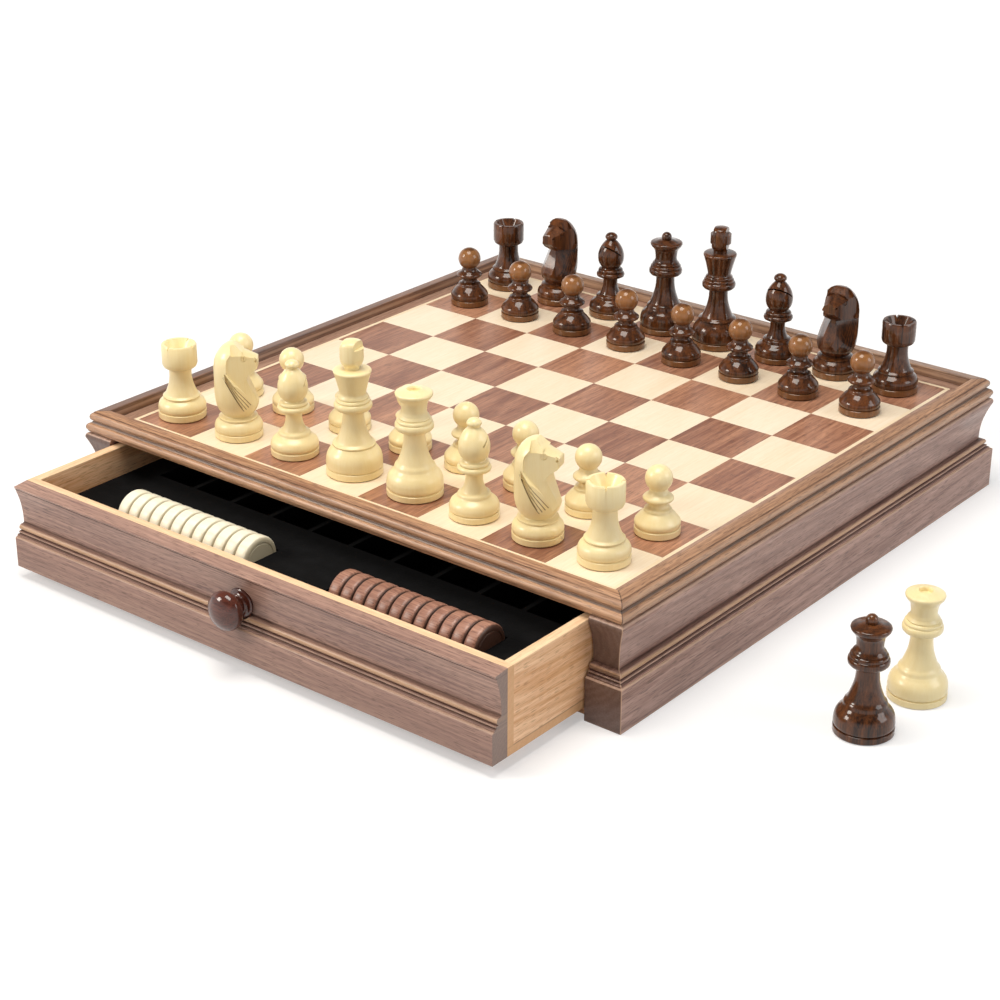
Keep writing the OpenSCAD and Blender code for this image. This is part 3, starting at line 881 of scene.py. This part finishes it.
@dataclass(frozen=True)
class Flocking(Finish):
    """Nylon flock blown onto glue: it swallows light, and brushed patches catch a little of it."""

    dark: str = "#030304"
    lint: str = "#0C0C0E"

    def shade(self, tree: Tree) -> None:
        """Build the pile, its brushed patches and its soft edge sheen.

        Args:
            tree: The empty tree.
        """
        spot = add(tree, "ShaderNodeTexCoord")
        # Fibres are 0.5 mm long; the brushed patches that show are about 9 mm across.
        patch = add(
            tree, "ShaderNodeTexNoise", {"Scale": 110.0, "Detail": 3.0}, {"Vector": spot.outputs["Object"]}
        )
        pile = add(
            tree, "ShaderNodeTexNoise", {"Scale": 1400.0, "Detail": 1.0}, {"Vector": spot.outputs["Object"]}
        )
        blend = add(
            tree, MAP_RANGE, {"From Min": 0.45, "From Max": 0.75}, {"Value": patch.outputs["Fac"]}
        )
        colour = add(
            tree, MIX, {"data_type": "RGBA", 6: linear(self.dark), 7: linear(self.lint)}, {0: blend}
        )
        bump = add(
            tree, "ShaderNodeBump", {"Strength": 0.6, "Distance": 0.0003}, {"Height": pile.outputs["Fac"]}
        )
        surface = add(
            tree,
            "ShaderNodeBsdfPrincipled",
            {"Roughness": 0.95, "Sheen Weight": 0.02, "Sheen Roughness": 0.6, "Specular IOR Level": 0.12},
            {"Base Color": colour.outputs[2], "Normal": bump},
        )
        add(tree, "ShaderNodeOutputMaterial", {}, {"Surface": surface})


@dataclass(frozen=True)
class Zinc(Finish):
    """Bright zinc plating on a steel screw, with fine turning marks."""

    def shade(self, tree: Tree) -> None:
        """Build the plated steel.

        Args:
            tree: The empty tree.
        """
        spot = add(tree, "ShaderNodeTexCoord")
        marks = add(
            tree, "ShaderNodeTexNoise", {"Scale": 900.0, "Detail": 2.0}, {"Vector": spot.outputs["Object"]}
        )
        rough = add(tree, MAP_RANGE, {"To Min": 0.25, "To Max": 0.45}, {"Value": marks.outputs["Fac"]})
        surface = add(
            tree,
            "ShaderNodeBsdfPrincipled",
            {"Base Color": linear("#C4C6C8"), "Metallic": 1.0},
            {"Roughness": rough},
        )
        add(tree, "ShaderNodeOutputMaterial", {}, {"Surface": surface})


FLOCK = Flocking("nylon_flock_black")
FELT = Flocking("wool_felt_pad", dark="#1B1F17", lint="#2C3326")
ZINC = Zinc("zinc_plated_steel")


@dataclass(frozen=True)
class SawCut:
    """One flat cut with a square corner, given in a chessman's own frame in millimetres and degrees."""

    place: tuple[float, float, float]
    turns: tuple[tuple[str, float], ...]
    low: tuple[float, float, float]
    high: tuple[float, float, float]

    def block(self, tree: Tree, seat: Matrix, wood: bpy.types.Material) -> Socket:
        """Add the block of waste that this cut takes away.

        Args:
            tree: The geometry tree.
            seat: Where the chessman stands and which way it looks.
            wood: The material that the cut lays open.

        Returns:
            The block.
        """
        placed = seat @ Matrix.Translation(Vector(self.place) * MM)
        for axis, degrees in self.turns:
            placed = placed @ Matrix.Rotation(math.radians(degrees), 4, axis)
        size = (Vector(self.high) - Vector(self.low)) * MM
        middle = placed @ ((Vector(self.high) + Vector(self.low)) * MM / 2)
        whole = add(tree, "GeometryNodeMeshCube", {"Size": size})
        wooden = add(tree, "GeometryNodeSetMaterial", {"Material": wood}, {0: whole})
        return add(
            tree,
            "GeometryNodeTransform",
            {"Translation": middle, "Rotation": placed.to_euler()},
            {"Geometry": wooden},
        ).outputs[0]


def knight_cuts() -> list[SawCut]:
    """List the cuts that slim a knight's throat and the bridge of its nose.

    Returns:
        Two cuts for the left side and two for the right.
    """
    cuts = []
    for side in (1, -1):
        throat = SawCut(
            place=(12, side * 5.4, 20),
            turns=(("Z", side * 55), ("Y", -22)),
            low=(0, -20, -6),
            high=(14, 20, 17),
        )
        near, far = sorted((0, side * 12))
        bridge = SawCut(
            place=(9, side * 1.2, 49),
            turns=(("Y", 26), ("X", -side * 28)),
            low=(-6, near, 0),
            high=(5, far, 10),
        )
        cuts += [throat, bridge]
    return cuts


def carve(piece: bpy.types.Object, seat: Matrix, cuts: list[SawCut]) -> None:
    """Carve a dressed piece further than its turned and sawn blank, between its joining and its shading.

    Args:
        piece: The chessman.
        seat: Where it stands and which way it looks.
        cuts: The cuts, in order.
    """
    tree, shape = mesh_tree(f"{piece.name}_carving")
    for cut in cuts:
        waste = cut.block(tree, seat, piece.data.materials[0])
        shape = add(
            tree,
            "GeometryNodeMeshBoolean",
            {"operation": "DIFFERENCE", "solver": "EXACT"},
            {0: shape, 1: waste},
        ).outputs[0]
    add(tree, "NodeGroupOutput", {}, {0: shape})
    piece.modifiers.new("carving", "NODES").node_group = tree
    piece.modifiers.move(len(piece.modifiers) - 1, 1)


@dataclass
class Board:
    """The playing surface: squares, the pale line and the flat strip, all veneer on a core."""

    squares: tuple[str, str] = ("dark_squares", "light_squares")
    line: str = "maple_line"
    strip: str = "walnut_strip"
    core: str = "board_core"

    def dress(self) -> int:
        """Give each leaf of veneer its finish.

        Returns:
            How many nodes were dressed.
        """
        count = WALNUT_SQUARES.dress(self.squares[0])
        count += MAPLE_SQUARES.dress(self.squares[1])
        count += MAPLE_LINE.dress(self.line)
        count += STRIP.dress(self.strip)
        return count + BEECH_X.dress(self.core)


@dataclass
class Cabinet:
    """The moulded walls, corner posts and rim around the two drawer bays."""

    inner: tuple[str, ...] = ("base_panel", "runners", "bay_divider")

    def dress(self) -> int:
        """Give walls, posts and rim walnut with the grain along each run.

        Returns:
            How many nodes were dressed.
        """
        count = WALNUT_Y.dress("left_wall", "right_wall")
        # The posts end the walls' runs, so their fronts are end grain, and their end colour is much darker
        # than the walls': painted shade, where the drawer shades the front posts.
        post = replace(WALNUT_Y, title="walnut_corner_post_painted_shade", end="#4E382D")
        count += post.dress("front_left_post", "front_right_post", "rear_left_post", "rear_right_post")
        # The rear and left rails are darker copies of the rim: painted shade on sides that face away from
        # the lamps, the left one the darkest; the front one keeps the most golden tone.
        rear = replace(RIM_X, title="walnut_rim_rear_painted_shade", pale="#B08A6C", deep="#6A4734")
        left = replace(RIM_Y, title="walnut_rim_left_painted_shade", pale="#93694F", deep="#4A2E20")
        count += RIM_X.dress("front_rim") + RIM_Y.dress("right_rim")
        count += rear.dress("rear_rim") + left.dress("left_rim")
        return count + BEECH_X.dress(*self.inner)


@dataclass
class Drawer:
    """One drawer with its moulded front, beech box, flocked tray and knob."""

    side: str
    flocked: tuple[str, ...]

    def dress(self) -> int:
        """Give every board of the drawer its finish.

        Returns:
            How many nodes were dressed.
        """
        stem = f"{self.side}_drawer_"
        count = WALNUT_X.dress(stem + "face")
        count += BEECH_X.dress(stem + "inner", stem + "back", stem + "floor")
        count += BEECH_Y.dress(stem + "left", stem + "right")
        count += KNOB_WOOD.dress(stem + "knob")
        count += ZINC.dress(stem + "screw")
        return count + FLOCK.dress(*self.flocked)


@dataclass
class DraughtRow:
    """Twelve draughts of one colour, lying on edge beside each other."""

    name: str
    finish: Timber
    # Colour of the painted shade in the gaps between the discs.
    gap_shade: str

    def dress(self) -> int:
        """Give the draughts their wood, with painted shade on the arrises between them.

        Returns:
            How many nodes were dressed.
        """
        row = PaintedGapShade(start=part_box(self.name)[0][0] / MM, colour=self.gap_shade)
        return replace(self.finish, marks=(row,)).dress(self.name)


@dataclass
class Army:
    """One side's chessmen with the felt pads under their feet."""

    side: str
    finish: Timber
    pawn_finish: Timber
    knight_turns: dict[str, float]
    # Colour of the painted shade in the knights' mane grooves.
    mane_groove_shade: str
    carved: bool = False
    kinds: tuple[str, ...] = ("bishop", "knight", "rook")
    turned_sharp: float = 42.0
    sawn_sharp: float = 32.0
    sanded: float = 0.16
    foot_mm: float = 2.5
    gap_mm: float = 0.3
    inset_mm: float = 0.9
    slack_mm: float = 0.04
    under_foot_mm: float = 0.01
    bevel_mm: float = 0.1

    def build(self) -> int:
        """Dress the chessmen and put a pad under each.

        Returns:
            How many nodes this side has.
        """
        men = [f"{self.side}_king", f"{self.side}_queen"]
        men += [f"{self.side}_{kind}_{hand}" for kind in self.kinds for hand in ("left", "right")]
        for name in men:
            if name in self.knight_turns:
                self.knight(name)
            else:
                self.finish.dress(name, sharp=self.turned_sharp)
            self.pads(name)
        pawns = f"{self.side}_pawns"
        self.pawn_finish.dress(pawns, sharp=self.turned_sharp)
        self.pads(pawns)
        # The spare queen crosses the squares' grid, so her blank isn't chosen by it.
        lone = replace(self.finish, title=self.finish.title + "_spare", cell_mm=0.0)
        spares = lone.dress(f"spare_{self.side}_queen", sharp=self.turned_sharp)
        return len(men) + 1 + spares

    def knight(self, name: str) -> None:
        """Dress one knight: its flats are sanded by hand, so they shine less, and its mane grooves get
        painted shade.

        Args:
            name: The knight's node.
        """
        x, y, _ = self.feet(name)[0]
        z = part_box(name)[0][2]
        turn = self.knight_turns[name]
        made = replace(
            self.finish,
            title=f"{self.finish.title}_{name}",
            coat_roughness=max(self.finish.coat_roughness, self.sanded),
            marks=(ManeGrooveShade(seat=(x / MM, y / MM, z / MM), turn=turn, colour=self.mane_groove_shade),),
        )
        made.dress(name, sharp=self.sawn_sharp)
        if self.carved:
            seat = Matrix.Translation((x, y, z)) @ Matrix.Rotation(math.radians(turn), 4, "Z")
            carve(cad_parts[name], seat, knight_cuts())

    def feet(self, name: str) -> list[tuple[float, float, float]]:
        """Find the feet of the chessmen in one node from their lowest vertices, square by square.

        Args:
            name: The chessmen's node.

        Returns:
            Each foot's centre and radius in metres.
        """
        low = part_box(name)[0][2]
        squares: dict[tuple[int, int], list[Vector]] = {}
        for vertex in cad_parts[name].data.vertices:
            x, y, z = vertex.co
            if z < low + self.foot_mm * MM:
                cell = (math.floor(x / MM / SQUARE), math.floor(y / MM / SQUARE))
                squares.setdefault(cell, []).append(vertex.co)
        found = []
        for ring in squares.values():
            west, east = min(c.x for c in ring), max(c.x for c in ring)
            south, north = min(c.y for c in ring), max(c.y for c in ring)
            found.append(((west + east) / 2, (south + north) / 2, (east - west) / 2))
        return found

    def pads(self, name: str) -> None:
        """Lay thin felt discs between the feet of one node's chessmen and the board.

        Args:
            name: The chessmen's node, which the pads ride on.
        """
        mesh = bpy.data.meshes.new(f"{name}_pads")
        bm = bmesh.new()
        thick = (self.gap_mm - self.slack_mm) * MM
        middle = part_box(name)[0][2] - thick / 2 - self.under_foot_mm * MM
        for x, y, radius in self.feet(name):
            wide = radius - self.inset_mm * MM
            made = bmesh.ops.create_cone(
                bm,
                cap_ends=True,
                segments=48,
                radius1=wide,
                radius2=wide - self.bevel_mm * MM,
                depth=thick,
            )
            bmesh.ops.translate(bm, verts=made["verts"], vec=Vector((x, y, middle)))
        bm.to_mesh(mesh)
        bm.free()
        piece = bpy.data.objects.new(f"{name}_pads", mesh)
        bpy.context.scene.collection.objects.link(piece)
        FELT.put_on(piece)
        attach(piece, name)


@dataclass(frozen=True)
class StudioPaper(Finish):
    """Matt white paper that reads as plain white to the camera and still takes the object's shadow."""

    paper: str = "#D4D4D5"
    lift: float = 0.36
    near: float = 0.5
    far: float = 1.1

    def shade(self, tree: Tree) -> None:
        """Build the paper, lifted to white where the camera or a reflection sees it.

        Args:
            tree: The empty tree.
        """
        rays = add(tree, "ShaderNodeLightPath").outputs
        seen = add(
            tree, MATH, {"operation": "MAXIMUM"}, {0: rays["Is Camera Ray"], 1: rays["Is Glossy Ray"]}
        )
        through = add(tree, MATH, {"operation": "MAXIMUM"}, {0: seen, 1: rays["Is Transmission Ray"]})
        matt = add(tree, "ShaderNodeBsdfDiffuse", {"Color": linear(self.paper)})
        # The lamps fall off away from the table's middle, where the paper would turn grey.
        spot = add(tree, "ShaderNodeTexCoord")
        away = add(tree, VECTOR_MATH, {"operation": "LENGTH"}, {0: spot.outputs["Object"]})
        lift = add(
            tree,
            MAP_RANGE,
            {"From Min": self.near, "From Max": self.far, "To Min": self.lift, "To Max": 1.0},
            {"Value": away.outputs["Value"]},
        )
        strength = add(tree, MATH, {"operation": "MULTIPLY"}, {0: through, 1: lift})
        glow = add(tree, "ShaderNodeEmission", {"Color": grey(1.0)}, {"Strength": strength})
        both = add(tree, "ShaderNodeAddShader", {}, {0: matt, 1: glow})
        add(tree, "ShaderNodeOutputMaterial", {}, {"Surface": both})


@dataclass(frozen=True)
class Softbox:
    """A square lamp behind cloth, turned towards the board."""

    title: str
    place: tuple[float, float, float]
    width: float
    watts: float
    tint: str = "#FFFFFF"
    target: tuple[float, float, float] = (0.0, 0.0, 0.05)

    def hang(self) -> None:
        """Add the lamp to the scene."""
        data = bpy.data.lights.new(self.title, "AREA")
        data.shape = "SQUARE"
        data.size = self.width
        data.energy = self.watts
        data.color = linear(self.tint)[:3]
        rig = bpy.data.objects.new(self.title, data)
        rig.location = self.place
        way = Vector(self.target) - Vector(self.place)
        rig.rotation_euler = way.to_track_quat("-Z", "Y").to_euler()
        bpy.context.scene.collection.objects.link(rig)


@dataclass
class Studio:
    """Camera, soft lamps, white floor and an even surround."""

    camera_place: tuple[float, float, float] = (0.730706, -0.957216, 0.555363)
    camera_turn: tuple[float, float, float] = (1.139799, -0.012086, 0.657715)
    lens: float = 80.0127
    shift: tuple[float, float] = (-0.049257, 0.000656)
    softboxes: tuple[Softbox, ...] = (
        Softbox("softbox_top", (0.0, -0.3, 1.5), 0.8, 18.0, "#FFFAF2"),
        Softbox("softbox_left", (-1.15, -1.35, 1.0), 0.6, 17.0, "#FFF8EE"),
        Softbox("softbox_right", (1.55, 0.45, 0.9), 0.8, 8.0),
    )
    surround: float = 0.3
    overhead: float = 0.12
    reach: float = 6.0
    floor_gap: float = 0.0002

    def camera(self) -> None:
        """Set up the camera."""
        data = bpy.data.cameras.new("studio_camera")
        data.lens = self.lens
        data.sensor_width = 36.0
        data.sensor_fit = "HORIZONTAL"
        data.shift_x, data.shift_y = self.shift
        data.clip_start = 0.01
        rig = bpy.data.objects.new("studio_camera", data)
        rig.location = self.camera_place
        rig.rotation_euler = Euler(self.camera_turn, "XYZ")
        bpy.context.scene.collection.objects.link(rig)
        bpy.context.scene.camera = rig

    def floor(self) -> None:
        """Lay the paper floor."""
        mesh = bpy.data.meshes.new("studio_floor")
        far = self.reach
        corners = [(-far, -far, 0), (far, -far, 0), (far, far, 0), (-far, far, 0)]
        mesh.from_pydata(corners, [], [(0, 1, 2, 3)])
        piece = bpy.data.objects.new("studio_floor", mesh)
        piece.location.z = -self.floor_gap
        bpy.context.scene.collection.objects.link(piece)
        StudioPaper("studio_paper_white").put_on(piece)

    def world(self) -> None:
        """Fill the surround: white to the camera, a room with a dim ceiling to reflections."""
        made = bpy.data.worlds.new("studio_surround")
        made.use_nodes = True
        tree = made.node_tree
        tree.nodes.clear()
        rays = add(tree, "ShaderNodeLightPath").outputs
        way = add(tree, "ShaderNodeTexCoord")
        parts = add(tree, "ShaderNodeSeparateXYZ", {}, {0: way.outputs["Generated"]})
        room = add(
            tree,
            MAP_RANGE,
            {"From Min": 0.25, "From Max": 0.6, "To Min": 1.0, "To Max": self.overhead},
            {"Value": parts.outputs[2]},
        )
        mirrored = add(
            tree,
            MATH,
            {"operation": "MAXIMUM"},
            {0: rays["Is Glossy Ray"], 1: rays["Is Transmission Ray"]},
        )
        lit = add(tree, MIX, {"data_type": "FLOAT", 2: self.surround}, {0: mirrored, 3: room})
        level = add(tree, MIX, {"data_type": "FLOAT", 3: 1.0}, {0: rays["Is Camera Ray"], 2: lit})
        ground = add(tree, "ShaderNodeBackground", {"Color": grey(1.0)}, {"Strength": level})
        add(tree, "ShaderNodeOutputWorld", {}, {"Surface": ground})
        bpy.context.scene.world = made

    def build(self) -> int:
        """Set up the whole studio.

        Returns:
            How many lamps hang in it.
        """
        self.camera()
        for softbox in self.softboxes:
            softbox.hang()
        self.floor()
        self.world()
        bpy.context.scene.view_settings.view_transform = "Standard"
        return len(self.softboxes)


def main() -> None:
    """Build every sub-assembly in order and report each."""
    logging.basicConfig(level=logging.INFO, format="%(name)s: %(message)s")
    LOG.info("board: %d nodes dressed", Board().dress())
    LOG.info("cabinet: %d nodes dressed", Cabinet().dress())
    front = Drawer("front", ("front_insert_bed", "front_insert_land", "front_insert_ribs"))
    LOG.info("front drawer: %d nodes dressed", front.dress())
    LOG.info("rear drawer: %d nodes dressed", Drawer("rear", ("rear_drawer_lining",)).dress())
    # The last colour of each row is the painted shade between its draughts.
    light_row = DraughtRow("light_draughts", DRAUGHT_LIGHT, "#B9AE90")
    dark_row = DraughtRow("dark_draughts", DRAUGHT_DARK, "#2A1810")
    LOG.info("draughts: %d nodes dressed", light_row.dress() + dark_row.dress())
    light_turns = {"light_knight_left": 40.0, "light_knight_right": 18.0}
    # The last colour is the painted shade in the knights' mane grooves.
    light_army = Army("light", BOXWOOD, BOXWOOD, light_turns, "#7C5A30")
    LOG.info("light army: %d nodes", light_army.build())
    # Heads of the dark pawns are painted a warmer, lighter brown, as painted light where light falls on
    # them; the rims of all the feet keep their worn, lighter brown.
    heads_with_painted_light = replace(
        SHEESHAM, title="sheesham_painted_light_heads", bands=(*FOOT_BANDS, Band(100.0, 12.5, "#BC8450", 0.45))
    )
    dark_turns = {"dark_knight_left": 270.0, "dark_knight_right": 274.0}
    dark_army = Army("dark", SHEESHAM, heads_with_painted_light, dark_turns, "#120805", carved=True)
    LOG.info("dark army: %d nodes", dark_army.build())
    LOG.info("studio: %d lamps", Studio().build())


if __name__ == "__main__":
    main()
